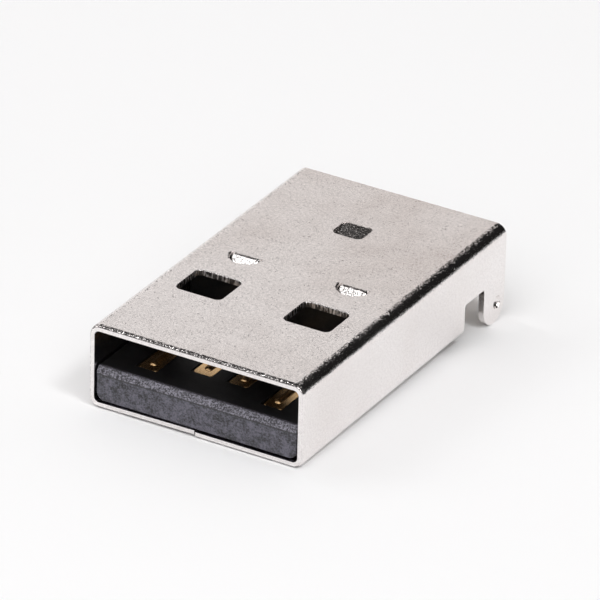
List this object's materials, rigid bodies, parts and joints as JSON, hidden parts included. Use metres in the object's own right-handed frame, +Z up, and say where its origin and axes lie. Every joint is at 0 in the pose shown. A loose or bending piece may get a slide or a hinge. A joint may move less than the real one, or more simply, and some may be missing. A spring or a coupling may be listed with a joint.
{
  "type": "usb-a plug",
  "caption": "Board-mounted usb-a plug: a folded metal shell with windows and board legs round a moulded tongue that carries gold-plated contacts.",
  "frame": {"origin": "on the board's top face, on the plug's centreline, midway between the two locating posts", "axes": "+Z up from the board, +X across the plug, the mating end towards -Y"},
  "size_m": [0.012, 0.0208, 0.005],
  "materials": {
    "nickel_plate": "satin nickel plate with a fine grain over folded steel sheet",
    "black_moulding": "matt black glass-filled moulding",
    "gold_plate": "thin gold plate on a stamped copper alloy"
  },
  "bodies": {
    "root": {"shell": "nickel_plate", "insulator": "black_moulding", "contact_outer_left": "gold_plate", "contact_inner_left": "gold_plate", "contact_inner_right": "gold_plate", "contact_outer_right": "gold_plate"}
  },
  "joints": []
}
